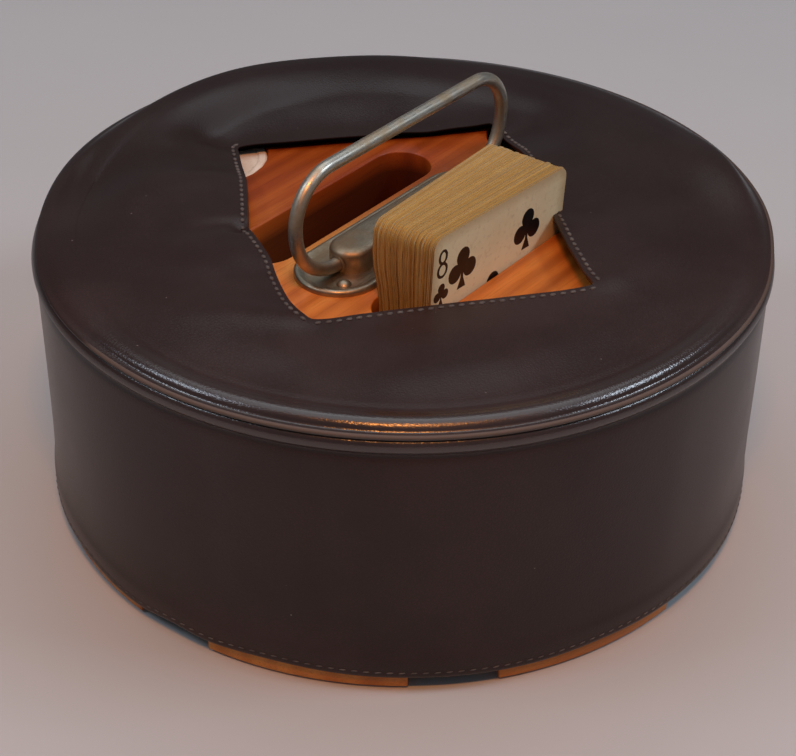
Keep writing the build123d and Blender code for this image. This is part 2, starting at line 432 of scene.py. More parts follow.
def buildCardBack():
    material, tree, shader, place = newMaterial("cardBack")
    turned = addNode(tree, "Mapping", {"Vector": place, "Rotation": (0, math.radians(45), 0),
                                       "Scale": (420.0, 420.0, 420.0)})
    lattice = addNode(tree, "TexChecker", {"Vector": turned.outputs[0], "Scale": 1.0,
                                           "Color1": cardLook["backDark"],
                                           "Color2": cardLook["backLight"]})
    rim = calculate(tree, "GREATER_THAN", readAttribute(tree, "cardBorder"), 0.05)
    color = mixColor(tree, rim, lattice.outputs["Color"], cardLook["backBorder"])
    worn = softPatches(tree, place, 60.0, 0.45, 0.8)
    color = mixColor(tree, scaleMap(tree, worn, 0, 1, 0, 0.4), color, cardLook["backWorn"])
    setShader(tree, shader, Base_Color=color, Roughness=0.5)
    return material


def buildInk():
    material, tree, shader, place = newMaterial("blackInk")
    rub = softPatches(tree, place, 500.0, 0.5, 0.75)
    color = mixColor(tree, rub, (0.004, 0.004, 0.004, 1), (0.014, 0.013, 0.011, 1))
    setShader(tree, shader, Base_Color=color, Roughness=0.45)
    return material


# Chips: the body's colour, where it is worn, and the grit in its surface
chipLook = {"ivoryChip": ((0.76, 0.67, 0.56, 1), (0.66, 0.55, 0.44, 1)),
            "redChip": ((0.36, 0.025, 0.02, 1), (0.24, 0.02, 0.018, 1)),
            "blueChip": ((0.025, 0.06, 0.25, 1), (0.02, 0.04, 0.15, 1)),
            "grit": (0.12, 0.09, 0.07, 1)}


def buildChip(name):
    body, worn = chipLook[name]
    material, tree, shader, place = newMaterial(name)
    cloud = softPatches(tree, place, 120.0, 0.4, 0.75)
    color = mixColor(tree, cloud, body, worn)
    grit = addNode(tree, "TexNoise", {"Vector": place, "Scale": 900.0, "Detail": 3.0})
    grit = grit.outputs["Fac"]
    color = mixColor(tree, scaleMap(tree, grit, 0.6, 0.75, 0.0, 0.35), color, chipLook["grit"])
    setShader(tree, shader, Base_Color=color, Roughness=scaleMap(tree, cloud, 0, 1, 0.35, 0.55),
              Normal=addBump(tree, grit, 0.00003, 0.4))
    return material


feltLook = {"dark": (0.035, 0.11, 0.05, 1), "matted": (0.06, 0.15, 0.075, 1),
            "fuzz": (0.10, 0.20, 0.11, 1)}


def buildFelt():
    material, tree, shader, place = newMaterial("greenFelt")
    fuzz = addNode(tree, "TexNoise", {"Vector": place, "Scale": 1400.0, "Detail": 6.0})
    fuzz = fuzz.outputs["Fac"]
    matted = softPatches(tree, place, 35.0, 0.4, 0.7)
    color = mixColor(tree, matted, feltLook["dark"], feltLook["matted"])
    color = mixColor(tree, scaleMap(tree, fuzz, 0.4, 0.7, 0, 0.5), color, feltLook["fuzz"])
    setShader(tree, shader, Base_Color=color, Roughness=0.95, Sheen_Weight=0.5,
              Normal=addBump(tree, fuzz, 0.0002))
    return material


vinyl = buildVinyl()
backing = buildBacking()
thread = buildThread()
rackWood = buildWood("rackWood")
# the board's wood is darkened to 0.8 as painted shade on the hem's foot
boardWood = buildWood("boardWood", shade=0.8, turn=0.35, inRack=False)
nickel = buildMetal("agedNickel")
dullNickel = buildMetal("dullNickel")
steel = buildMetal("screwSteel")
cardEdge = buildCardEdge()
cardFace = buildCardFace()
cardBack = buildCardBack()
ink = buildInk()
chipMaterials = {"white": buildChip("ivoryChip"), "red": buildChip("redChip"),
                 "blue": buildChip("blueChip")}
felt = buildFelt()
print("materials ready")


# Chips: plain below, and a pressed rim on the top one of each stack. The cover rests on the
# full stacks and not on the low ones, and one stack's top chip has slid by an amount.
chips = {"radius": 19.6, "thickness": 3.2, "floor": 8.5, "circle": 79.5, "turn": 1.5,
         "colors": ["white", "red", "white", "blue", "white", "red", "white", "blue"],
         "nodes": ["white_chips_4", "red_chips_1", "white_chips_1", "blue_chips_1",
                   "white_chips_2", "red_chips_2", "white_chips_3", "blue_chips_2"],
         "counts": [20, 20, 23, 25, 25, 25, 20, 25], "low": (0, 1, 2, 6), "slid": (2, -0.8)}


# Cover: opening, top panel, side band, stitches
cover = {"centre": (1.0, -1.0), "top": 90.5, "columns": 320, "rings": 42,
         "flatRadius": 97.0, "bandRadius": 109.2, "seamAngle": 38, "sink": 4.0,
         "panelWall": 0.9, "bandWall": 0.75, "facingWall": 0.5, "facingDrop": 1.45,
         "stitchPitch": 2.9, "stitchInset": 1.7, "hemPitch": 3.3, "hemStitch": 5.5,
         "seamPitch": 3.4, "seamStitches": 18, "seamRows": (-3.6, 3.6)}

# the opening's edge, round from its back corner: back, right, front and left side
openingEdge = [(4.8, 71.4), (19.3, 58.8), (44.2, 37.9), (59.3, 25.2), (68.6, 17.7),
               (62.0, 6.4), (55.6, -3.2), (49.2, -11.4), (41.5, -19.6), (33.6, -28.4),
               (25.1, -37.8), (15.5, -48.7), (10.2, -55.4), (5.4, -61.4), (1.9, -67.0),
               (-6.6, -61.0), (-15.4, -53.6), (-31.0, -40.7), (-41.9, -32.0), (-50.8, -25.1),
               (-58.2, -20.3), (-62.4, -17.4), (-60.9, -11.5), (-58.2, -5.8), (-53.9, 0.9),
               (-49.6, 6.8), (-45.0, 12.6), (-40.8, 20.0), (-37.5, 26.0), (-35.0, 30.4),
               (-26.0, 38.7), (-13.2, 51.0)]


def openingPoints(spacing=1.0):
    points = []
    corners = [Vector(c) for c in openingEdge]
    for start, end in zip(corners, corners[1:] + corners[:1]):
        count = max(round((end - start).length / spacing), 1)
        points += [start.lerp(end, step / count) for step in range(count)]
    for turn in range(2):
        points = [(points[i - 1] + points[i] * 2 + points[(i + 1) % len(points)]) / 4
                  for i in range(len(points))]
    return points


opening = openingPoints()


def openingReach(angle):
    centre = Vector(cover["centre"])
    ray = Vector((math.cos(angle), math.sin(angle)))
    best = 0.0
    for first, second in zip(opening, opening[1:] + opening[:1]):
        a, b = first - centre, second - centre
        sideA = ray.x * a.y - ray.y * a.x
        sideB = ray.x * b.y - ray.y * b.x
        if sideA <= 0 < sideB or sideB < 0 <= sideA:
            hit = a + (b - a) * (-sideA / (sideB - sideA))
            if hit.dot(ray) > 0:
                best = max(best, hit.dot(ray))
    return best


def sumAround(entries, angle):
    # bumps placed round the rim, each an angle and a width in degrees, and an amount
    total = 0.0
    for at, width, amount in entries:
        gap = (math.degrees(angle) - at + 180) % 360 - 180
        total += amount * math.exp(-(gap / width) ** 2)
    return total


# soft folds in the top panel: each starts at a point and runs in a direction (degrees)
folds = [{"at": (3, 70), "turn": 88, "length": 40, "width": 8, "rise": -0.9},
         {"at": (0, 68), "turn": 117, "length": 44, "width": 6, "rise": 0.6},
         {"at": (-16, 60), "turn": 154, "length": 66, "width": 9, "rise": 0.9},
         {"at": (-34, 34), "turn": 150, "length": 30, "width": 5, "rise": -0.9},
         {"at": (-44, 20), "turn": 160, "length": 44, "width": 11, "rise": 0.9},
         {"at": (-62, -17), "turn": 119, "length": 66, "width": 8, "rise": 1.0},
         {"at": (-50, -28), "turn": 232, "length": 46, "width": 13, "rise": -0.5},
         {"at": (4, -69), "turn": 0, "length": 66, "width": 9, "rise": 1.0},
         {"at": (30, -36), "turn": 325, "length": 44, "width": 9, "rise": -0.6},
         {"at": (65, 14), "turn": 14, "length": 42, "width": 8, "rise": 0.9},
         {"at": (52, 30), "turn": 52, "length": 44, "width": 10, "rise": -0.8}]

# where the rim swells or sinks, and where it is pulled in
rimSwells = [(73, 25, 3.7), (42, 12, 0.7), (325, 14, 3.8), (118, 15, -3.2), (10, 18, -0.7)]
rimPinches = [(130, 20, -1.9), (300, 9, -0.6)]

# the rim's section outwards to the raw edge: radius, height with a ridge, height without
rimSection = [(98.2, 89.2, 90.6), (99.2, 89.15, 90.65), (100.5, 89.4, 90.65),
              (101.8, 89.9, 90.6), (103.1, 90.35, 90.5), (104.3, 90.5, 90.35),
              (105.3, 90.3, 90.1), (106.1, 89.88, 89.85), (106.7, 89.35, 89.6),
              (107.1, 88.75, 89.4), (107.35, 88.2, 89.25), (107.8, 88.1, 89.0),
              (108.5, 88.35, 88.75), (109.1, 88.4, 88.6), (109.9, 88.3, 88.35)]


def ridgeShare(angle):
    turn = math.degrees(angle) % 360
    return smoothStep(158, 188, turn) * (1 - smoothStep(266, 296, turn))


def rimHeight(radius, ridged, plain, angle):
    share = ridgeShare(angle)
    swell = sumAround(rimSwells, angle) * (1 - smoothStep(103.0, 108.5, radius))
    wave = 0.2 * noise.noise(Vector((3 * math.cos(angle), 3 * math.sin(angle), 1.5)))
    wave *= 1 - smoothStep(107, 109.9, radius)
    return ridged * share + plain * (1 - share) + swell + wave


def rimPull(angle, height):
    return sumAround(rimPinches, angle) * smoothStep(82.5, 88, height)


def coverHeight(x, y):
    radius, angle = math.hypot(x, y), math.atan2(y, x)
    height = cover["top"] - 0.4
    for number in range(8):
        well = polar(chips["circle"], math.radians(chips["turn"] + 45 * number))
        if number not in chips["low"]:
            height += 0.35 * (1 - smoothStep(12, 30, math.hypot(x - well.x, y - well.y)))
    for fold in folds:
        turn = math.radians(fold["turn"])
        along = (x - fold["at"][0]) * math.cos(turn) + (y - fold["at"][1]) * math.sin(turn)
        across = (y - fold["at"][1]) * math.cos(turn) - (x - fold["at"][0]) * math.sin(turn)
        if -8 < along < fold["length"]:
            fade = smoothStep(-8, 6, along) * (1 - smoothStep(0.3, 1, along / fold["length"]))
            width = fold["width"] * (0.6 + along / fold["length"])
            height += fold["rise"] * fade * math.exp(-(across / width) ** 2)
    height += 0.7 * noise.noise(Vector((x * 0.022, y * 0.022, 3.1)))
    height += 0.2 * noise.noise(Vector((x * 0.07, y * 0.07, 7.7)))
    # the panel sinks towards the opening's back edge, with a small pit where the fold begins
    back = backWay[0] * x + backWay[1] * y
    aside = backWay[1] * x - backWay[0] * y
    sink = smoothStep(26, 50, back) * (1 - smoothStep(60, 90, back))
    height -= cover["sink"] * sink * (1 - smoothStep(44, 74, abs(aside)))
    height -= 1.6 * math.exp(-((x + 36.5) ** 2 + (y - 31.5) ** 2) / 7)
    rim = smoothStep(80, 98, radius)
    return height * (1 - rim) + rimHeight(cover["flatRadius"], 89.35, 90.5, angle) * rim


def buildTopPanel():
    columns = cover["columns"]
    bm = bmesh.new()
    inner = bmesh.ops.create_circle(bm, segments=columns, radius=1)["verts"]
    outer = bmesh.ops.create_circle(bm, segments=columns, radius=2)["verts"]
    centre = Vector(cover["centre"])
    for ring in (inner, outer):
        for vert in ring:
            angle = math.atan2(vert.co.y, vert.co.x)
            ray = Vector((math.cos(angle), math.sin(angle)))
            if ring is inner:
                place = centre + ray * openingReach(angle)
            else:
                half = centre.dot(ray)
                place = centre + ray * (-half + math.sqrt(
                    half * half - centre.length_squared + cover["flatRadius"] ** 2))
            vert.co = (place.x * mm, place.y * mm, cover["top"] * mm)
    circles = set(bm.edges)
    bmesh.ops.bridge_loops(bm, edges=bm.edges[:])
    spokes = [e for e in bm.edges if e not in circles]
    bmesh.ops.subdivide_edges(bm, edges=spokes, cuts=cover["rings"], use_grid_fill=True)
    for vert in bm.verts:
        x, y = vert.co.x / mm, vert.co.y / mm
        vert.co.z = coverHeight(x, y) * mm
    boundary = [e for e in bm.edges if e.is_boundary]
    between = 90 * mm
    openLoop = [e for e in boundary if e.verts[0].co.to_2d().length < between]
    rimLoop = [e for e in boundary if e.verts[0].co.to_2d().length > between]
    raw = bm.verts.layers.float.new("rawEdge")
    ridge = bm.verts.layers.float.new("ridge")
    under = bm.verts.layers.float.new("underEdge")
    for radius, ridged, plain in rimSection:
        grown = bmesh.ops.extrude_edge_only(bm, edges=rimLoop)["geom"]
        for vert in vertsIn(grown):
            angle = math.atan2(vert.co.y, vert.co.x)
            height = rimHeight(radius, ridged, plain, angle)
            vert.co = polar((radius + rimPull(angle, 88)) * mm, angle, height * mm)
            vert[raw] = smoothStep(108.6, 109.2, radius) * smoothStep(
                155, 175, math.degrees(angle) % 360)
            vert[ridge] = smoothStep(99.2, 102.0, radius) * ridgeShare(angle)
            vert[under] = 0
        rimLoop = edgesIn(grown)
    # the cut edge rolls under, painted black as shade, blacker towards the back
    for inset in (0.15, 0.1, -0.35):
        grown = bmesh.ops.extrude_edge_only(bm, edges=openLoop)["geom"]
        for vert in vertsIn(grown):
            away = (vert.co.to_2d() / mm - centre).normalized()
            back = smoothStep(33, 44, vert.co.x / mm * backWay[0] + vert.co.y / mm * backWay[1])
            vert.co.x -= away.x * inset * mm
            vert.co.y -= away.y * inset * mm
            vert.co.z -= 0.42 * mm
            vert[under] = 0.4 + 0.6 * back
        openLoop = edgesIn(grown)
    bmesh.ops.remove_doubles(bm, verts=bm.verts, dist=mergeGap)
    turnUpwards(bm)
    piece = makePiece("coverTopPanel", bm, [vinyl, backing], "cover", "cover_top_panel",
                      slot="vinyl", sharp=60)
    addModifier(piece, "SOLIDIFY", thickness=cover["panelWall"] * mm, offset=-1, material_offset=1,
                material_offset_rim=0)
    return piece


def buildFacing():
    centre = Vector(cover["centre"])
    bm = bmesh.new()
    under = bm.verts.layers.float.new("underEdge")
    for growth in (0.6, 8.0):
        ring = bmesh.ops.create_circle(bm, segments=cover["columns"], radius=1)["verts"]
        for vert in ring:
            angle = math.atan2(vert.co.y, vert.co.x)
            place = centre + Vector((math.cos(angle), math.sin(angle))) * (
                openingReach(angle) + growth)
            lower = coverHeight(place.x, place.y) - cover["facingDrop"]
            vert.co = (place.x * mm, place.y * mm, lower * mm)
            # the facing is painted black all over, as shade beneath the opening's edge
            vert[under] = 1
    bmesh.ops.bridge_loops(bm, edges=bm.edges[:])
    turnUpwards(bm)
    piece = makePiece("coverOpeningFacing", bm, [vinyl, vinyl], "cover",
                      "cover_opening_facing", slot="vinyl")
    addModifier(piece, "SOLIDIFY", thickness=cover["facingWall"] * mm, offset=-1)
    return piece


# the band's section from the raw edge down to the hem's foot
bandSection = [(109.9, 87.4), (109.45, 87.2), (109.1, 86.95), (109.15, 86.8), (109.4, 86.65),
               (109.75, 86.35), (110.05, 85.9), (110.25, 85.4), (110.35, 84.75),
               (110.3, 83.95), (109.9, 83.15), (109.3, 82.5), (108.8, 81.9), (108.65, 81.3),
               (108.85, 80.5), (109.1, 79.5), (109.2, 78.0),
               *((109.2, float(height)) for height in range(72, 29, -6)),
               (109.2, 25.0), (109.3, 20.0),
               (109.4, 16.0), (109.55, 13.5), (109.75, 11.9), (109.85, 11.2), (109.95, 10.0),
               (109.95, 8.0), (109.9, 6.6), (109.85, 5.6), (109.95, 4.9), (109.9, 4.2),
               (109.7, 3.7), (109.4, 3.55), (109.0, 3.7)]

# upright dents in the band: angle, width and depth
bandDents = [(207, 2.2, -0.5), (216, 3.0, 0.35), (228, 3.5, -0.4), (322, 2.0, -0.45),
             (329, 2.5, 0.35), (336, 1.8, -0.4), (342, 2.2, 0.3), (190, 3, -0.3), (20, 3, -0.4),
             (80, 4, -0.3), (120, 3, -0.35), (262, 5, 0.25), (292, 4, -0.2)]


def bandOffset(angle, height):
    push = sumAround(bandDents, angle)
    push *= smoothStep(14, 40, height) * (1 - smoothStep(66, 80, height))
    spot = Vector((2.2 * math.cos(angle), 2.2 * math.sin(angle), height * 0.012))
    wide = 0.7 * noise.noise(spot) * (1 - smoothStep(70, 82, height))
    return push + wide * smoothStep(6, 20, height) - 0.25 + rimPull(angle, height)


# where the hem stands higher: angle, width and rise
hemLifts = [(182, 5, 1.5), (200, 10, 1.6), (218, 12, 0.9), (250, 20, 1.2), (158, 9, 1.0)]


def hemRise(angle):
    wave = noise.noise(Vector((4 * math.cos(angle), 4 * math.sin(angle), 9.3)))
    return 0.7 + 0.4 * wave + sumAround(hemLifts, angle)


def buildSideBand():
    bm = bmesh.new()
    spinProfile(bm, bandSection, cover["columns"])
    raw = bm.verts.layers.float.new("rawEdge")
    ridge = bm.verts.layers.float.new("ridge")
    for vert in bm.verts:
        angle = math.atan2(vert.co.y, vert.co.x)
        radius, height = vert.co.to_2d().length / mm, vert.co.z / mm
        vert[raw] = smoothStep(87.1, 87.3, height)
        vert[ridge] = smoothStep(81.5, 83.5, height) * ridgeShare(angle)
        radius += bandOffset(angle, height)
        foot = hemRise(angle) * (1 - smoothStep(4, 26, height))
        vert.co = polar(radius * mm, angle, (height + foot) * mm)
    outward = sum(f.normal.dot(f.calc_center_median().to_2d().to_3d()) for f in bm.faces)
    if outward < 0:
        bmesh.ops.reverse_faces(bm, faces=bm.faces)
    piece = makePiece("coverSideBand", bm, [vinyl, backing], "cover", "cover_side_band",
                      slot="vinyl", sharp=60)
    addModifier(piece, "SOLIDIFY", thickness=cover["bandWall"] * mm, offset=-1, material_offset=1,
                material_offset_rim=0)
    return piece


def buildBackSeam():
    # a flat strip bent to the band, with a rounded edge along each side
    seam = math.radians(cover["seamAngle"])
    bm = bmesh.new()
    bmesh.ops.create_grid(bm, x_segments=14, y_segments=40, size=0.5)
    for vert in bm.verts:
        across, up = vert.co.x * 2, vert.co.y + 0.5
        angle = seam + across * 6.0 / cover["bandRadius"]
        height = 17.8 + up * 61.4
        edge = smoothStep(1.0, 0.82, abs(across)) * min(smoothStep(0, 0.02, up),
                                                        smoothStep(1, 0.98, up))
        radius = 109.05 + 0.8 * edge + bandOffset(angle, height)
        vert.co = polar(radius * mm, angle, height * mm)
    if sum(f.normal.dot(polar(1, seam)) for f in bm.faces) < 0:
        bmesh.ops.reverse_faces(bm, faces=bm.faces)
    return makePiece("coverBackSeam", bm, [vinyl], "cover", "cover_back_seam", slot="vinyl")


def addStitch(bm, template, place, along, up, turn=0.0):
    along = (Matrix.Rotation(turn, 3, up) @ along).normalized()
    side = up.cross(along).normalized()
    matrix = Matrix((along, side, up)).transposed().to_4x4()
    matrix.translation = place
    copyInto(bm, template, matrix)


def stitchTemplate(length, width, height):
    bm = bmesh.new()
    bmesh.ops.create_icosphere(bm, subdivisions=1, radius=0.5)
    for vert in bm.verts:
        vert.co = (vert.co.x * length * mm, vert.co.y * width * mm, vert.co.z * height * mm)
    return bm


def stitchOpening(template):
    centre = Vector(cover["centre"])
    backEdge = Vector((backWay[1], -backWay[0]))
    bm = bmesh.new()
    walked, due = 0.0, 0.0
    for first, second in zip(opening, opening[1:] + opening[:1]):
        step = second - first
        while due <= walked + step.length:
            point = first + step * ((due - walked) / step.length)
            out = Vector((step.y, -step.x)).normalized()
            if out.dot(point - centre) < 0:
                out = -out
            if step.normalized().dot(backEdge) < 0.97:      # no stitches show along the back
                point = point + out * cover["stitchInset"]
                height = coverHeight(point.x, point.y) + 0.05
                addStitch(bm, template, Vector((point.x, point.y, height)) * mm,
                          step.to_3d().normalized(), Vector((0, 0, 1)), 0.12)
            due += cover["stitchPitch"]
        walked += step.length
    makePiece("openingStitches", bm, [thread], "cover", sharp=80)


def stitchHem(template):
    bm = bmesh.new()
    count = int(2 * math.pi * 110 / cover["hemPitch"])
    for number in range(count):
        angle = 2 * math.pi * number / count
        height = cover["hemStitch"] + hemRise(angle)
        place = polar((109.9 + bandOffset(angle, 6.0)) * mm, angle, height * mm)
        addStitch(bm, template, place, polar(1, angle + math.pi / 2), polar(1, angle), 0.1)
    makePiece("hemStitches", bm, [thread], "cover", sharp=80)


def stitchSeam(template):
    bm = bmesh.new()
    for across in cover["seamRows"]:
        for number in range(cover["seamStitches"]):
            angle = math.radians(cover["seamAngle"]) + across / cover["bandRadius"]
            height = 19.5 + number * cover["seamPitch"]
            place = polar((109.88 + bandOffset(angle, height)) * mm, angle, height * mm)
            addStitch(bm, template, place, Vector((0, 0, 1)), polar(1, angle))
    makePiece("seamStitches", bm, [thread], "cover", sharp=80)


topPanel = buildTopPanel()
facing = buildFacing()
sideBand = buildSideBand()
backSeam = buildBackSeam()
coarseStitch = stitchTemplate(2.3, 1.4, 0.65)
fineStitch = stitchTemplate(2.2, 0.55, 0.4)
stitchOpening(coarseStitch)
stitchHem(fineStitch)
stitchSeam(coarseStitch)
coarseStitch.free()
fineStitch.free()
print("cover ready")


# Rack: block, base board, felt, screws
makePiece("rackBlock", fromCad("rack_block", 0.45), [rackWood], "rack", "rack_block", slot="wood")
makePiece("baseBoard", fromCad("base_board", 0.5), [boardWood], "rack", "base_board", slot="wood")
for node, material in (("base_felt", felt), ("base_screws", steel)):
    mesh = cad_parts[node].data
    mesh.materials.clear()
    mesh.materials.append(material)
print("rack ready")


# Handle plate, nails and bail
handle = {"halfLength": 43.0, "halfWidth": 13.3, "base": 83.0, "sides": 96,
          "tunnelHalf": 30.6, "tunnelHalfWidth": 6.4, "pivotZ": 86.5, "wireRadius": 2.05,
          "bailHalf": 48.4, "bailHeight": 33.4, "lowerBend": 18.0, "upperBend": 14.5,
          "bailEnd": 25.0, "nailX": 34.8, "nailY": 6.0, "plateWall": 1.0, "nailLift": 1.02,
          "collarRadius": 2.9, "collarBore": 2.3, "collarDepth": 0.25, "wireSides": 24}

# steps of a stamped form's section, each an inset and a rise from the one before
plateSteps = [(0.0, 0.9), (0.25, 0.6), (0.5, 0.3), (0.6, 0.02), (0.6, -0.22), (0.7, -0.35),
              (0.9, -0.2), (2.4, -0.05)]
tunnelSteps = [(0.0, 4.9), (0.12, 0.6), (0.32, 0.52), (0.45, 0.4), (0.52, 0.26), (0.6, 0.15),
               (0.9, 0.1), (1.2, 0.05)]


def stamped(name, halfLength, halfWidth, base, steps, *nodes):
    # a slot-shaped outline raised and narrowed step by step
    bm = bmesh.new()
    ring = bmesh.ops.create_circle(bm, cap_ends=True, segments=handle["sides"],
                                   radius=halfWidth * mm)["verts"]
    turn = Matrix.Rotation(math.pi / handle["sides"], 3, "Z")
    bmesh.ops.rotate(bm, verts=ring, cent=(0, 0, 0), matrix=turn)
    for vert in ring:
        vert.co.x += math.copysign((halfLength - halfWidth) * mm, vert.co.x)
        vert.co.z = base * mm
    bm.faces.ensure_lookup_table()
    face = bm.faces[0]
    if face.normal.z < 0:
        face.normal_flip()
    wall = bmesh.ops.extrude_face_region(bm, geom=[face])
    top = next(f for f in wall["geom"] if isinstance(f, bmesh.types.BMFace))
    bmesh.ops.translate(bm, verts=top.verts, vec=(0, 0, steps[0][1] * mm))
    for inset, rise in steps[1:]:
        bmesh.ops.inset_region(bm, faces=[top], thickness=inset * mm, depth=0,
                               use_even_offset=True)
        bmesh.ops.translate(bm, verts=top.verts, vec=(0, 0, rise * mm))
    bmesh.ops.recalc_face_normals(bm, faces=bm.faces)
    return makePiece(name, bm, [dullNickel], "rack", *nodes, slot="aged_nickel", sharp=50)


def buildCollars():
    # rings where the wire enters the tunnel
    bm = bmesh.new()
    for side in (-1, 1):
        ring = bmesh.ops.create_circle(bm, cap_ends=False, segments=32,
                                       radius=handle["collarRadius"] * mm)["verts"]
        inner = vertsIn(bmesh.ops.extrude_edge_only(bm, edges=edgesAround(ring))["geom"])
        for vert in inner:
            vert.co *= handle["collarBore"] / handle["collarRadius"]
            vert.co.z = handle["collarDepth"] * mm
        turn = Matrix.Translation((side * (handle["tunnelHalf"] + 0.02) * mm, 0,
                                   handle["pivotZ"] * mm))
        turn = turn @ Matrix.Rotation(side * math.pi / 2, 4, "Y")
        bmesh.ops.transform(bm, matrix=turn, verts=ring + inner)
    bmesh.ops.recalc_face_normals(bm, faces=bm.faces)
    return makePiece("tunnelCollars", bm, [dullNickel], "rack", slot="aged_nickel")


def buildNails():
    bm = bmesh.new()
    template = bmesh.new()
    dome = [(0.0, 1.3), (0.55, 1.24), (1.1, 1.05), (1.6, 0.74), (2.0, 0.36), (2.25, 0.0),
            (2.25, -0.15)]
    spinProfile(template, dome, 24)
    turnUpwards(template)
    for x in (-1, 1):
        for y in (-1, 1):
            place = (x * handle["nailX"] * mm, y * handle["nailY"] * mm,
                     (handle["base"] + handle["nailLift"]) * mm)
            copyInto(bm, template, Matrix.Translation(place))
    template.free()
    return makePiece("handleNails", bm, [dullNickel], "rack", "handle_nails", slot="aged_nickel")


def bailPath():
    half, height = handle["bailHalf"], handle["bailHeight"]
    low, high, end = handle["lowerBend"], handle["upperBend"], handle["bailEnd"]
    points = [(-end, 0.0)]
    bends = [((-half + low, low), low, 270, 180), ((-half + high, height - high), high, 180, 90),
             ((half - high, height - high), high, 90, 0), ((half - low, low), low, 0, -90)]
    for (x, z), radius, start, stop in bends:
        for step in range(19):
            angle = math.radians(start + (stop - start) * step / 18)
            points.append((x + radius * math.cos(angle), z + radius * math.sin(angle)))
    points.append((end, 0.0))
    return [Vector((x * mm, 0, (z + handle["pivotZ"]) * mm)) for x, z in points]


def buildBail():
    # a ring carried along the wire's centre line, and bridged to the next
    path = bailPath()
    bm = bmesh.new()
    loops = []
    for number, point in enumerate(path):
        before, after = path[max(number - 1, 0)], path[min(number + 1, len(path) - 1)]
        along = (after - before).normalized()
        ring = bmesh.ops.create_circle(bm, segments=handle["wireSides"],
                                       radius=handle["wireRadius"] * mm)["verts"]
        side = Vector((0, 1, 0))
        up = along.cross(side)
        matrix = Matrix((side, up, along)).transposed().to_4x4()
        matrix.translation = point
        bmesh.ops.transform(bm, matrix=matrix, verts=ring)
        loops.append(ring)
    for first, second in zip(loops, loops[1:]):
        edges = {e for v in first for e in v.link_edges if e.other_vert(v) in first}
        edges |= {e for v in second for e in v.link_edges if e.other_vert(v) in second}
        bmesh.ops.bridge_loops(bm, edges=list(edges))
    bmesh.ops.holes_fill(bm, edges=[e for e in bm.edges if e.is_boundary], sides=30)
    bmesh.ops.recalc_face_normals(bm, faces=bm.faces)
    return makePiece("bailWire", bm, [nickel], "bail", "bail", slot="aged_nickel", sharp=50)


stamped("handlePlate", handle["halfLength"], handle["halfWidth"], handle["base"], plateSteps,
        "handle_plate")
stamped("handleTunnel", handle["tunnelHalf"], handle["tunnelHalfWidth"],
        handle["base"] + handle["plateWall"], tunnelSteps)
buildCollars()
buildNails()
buildBail()
print("handle ready")


# Playing cards
cards = {"width": 63.5, "height": 88.9, "thickness": 0.275, "pitch": 0.302, "count": 52,
         "corner": 3.6, "fan": 0.94, "roll": 2.5, "yaw": -0.4, "shift": -3.3, "stagger": 0.35,
         "pocketOffset": 26.2, "pocketFloor": 16.0}

# lines of the grid that a card is bent on, across it and up it
cardAcross = [-31.75, -27.7, -14.0, 0.0, 14.0, 27.7, 31.75]
cardUp = [0.0, 4.05, 25.0, 45.0, 56.0, 63.0, 69.0, 75.0, 80.0, 84.85, 88.9]


def cardTemplate():
    bm = bmesh.new()
    bmesh.ops.create_grid(bm, x_segments=len(cardAcross) - 1, y_segments=len(cardUp) - 1, size=0.5)
    for vert in bm.verts:
        column = round((vert.co.x + 0.5) * (len(cardAcross) - 1))
        row = round((vert.co.y + 0.5) * (len(cardUp) - 1))
        vert.co = (cardAcross[column] * mm, 0, cardUp[row] * mm)
    corners = [v for v in bm.verts if len(v.link_faces) == 1]
    bmesh.ops.bevel(bm, geom=corners, offset=cards["corner"] * mm, offset_type="OFFSET",
                    affect="VERTICES", segments=5, profile=0.5, material=-1)
    border = bm.verts.layers.float.new("cardBorder")
    bm.verts.layers.float.new("cardTone")
    for vert in bm.verts:
        vert[border] = 1.0 if vert.is_boundary else 0.0
        vert.co.y = -cards["thickness"] / 2 * mm
    pushed = bmesh.ops.extrude_face_region(bm, geom=bm.faces[:])
    for vert in vertsIn(pushed["geom"]):
        vert.co.y = cards["thickness"] / 2 * mm
    bmesh.ops.recalc_face_normals(bm, faces=bm.faces)
    for made in bm.faces:
        side = made.normal.y
        made.material_index = 1 if side < -0.5 else 2 if side > 0.5 else 0
    return bm


def bentCard(template, index):
    # cards at the back of the pack splay away, most at their right top corner
    bm = template.copy()
    share = index / (cards["count"] - 1)
    for vert in bm.verts:
        across = vert.co.x / mm / cards["width"] + 0.5
        up = vert.co.z / mm
        bend = max((up - 60) / 28.9, 0) ** 1.6
        bulge = math.exp(-((up - 78) / 10) ** 2) * (1 - across)
        vert.co.y += share ** 1.3 * bend * (0.8 + 6.0 * across) * mm
        vert.co.x -= share * (1.6 * bend + 2.4 * bulge) * mm
    return bm


def packMatrix():
    rise = cards["width"] / 2 * math.sin(math.radians(cards["roll"])) + 0.1
    matrix = Matrix.Translation(Vector((cards["shift"], -cards["pocketOffset"],
                                        cards["pocketFloor"] + rise)) * mm)
    matrix = matrix @ Matrix.Rotation(math.radians(cards["yaw"]), 4, "Z")
    return matrix @ Matrix.Rotation(math.radians(cards["roll"]), 4, "Y")


def cardMatrix(index):
    fromMiddle = index - (cards["count"] - 1) / 2
    lean = -cards["fan"] * fromMiddle / (cards["count"] / 2)
    shift = Vector((cards["stagger"] * math.sin(1.7 * index) + random.uniform(-0.15, 0.15),
                    fromMiddle * cards["pitch"], random.uniform(-0.15, 0.25)))
    turn = Matrix.Rotation(math.radians(lean), 4, "X")
    tilt = Matrix.Rotation(math.radians(random.uniform(-0.2, 0.2)), 4, "Y")
    return packMatrix() @ Matrix.Translation(shift * mm) @ turn @ tilt


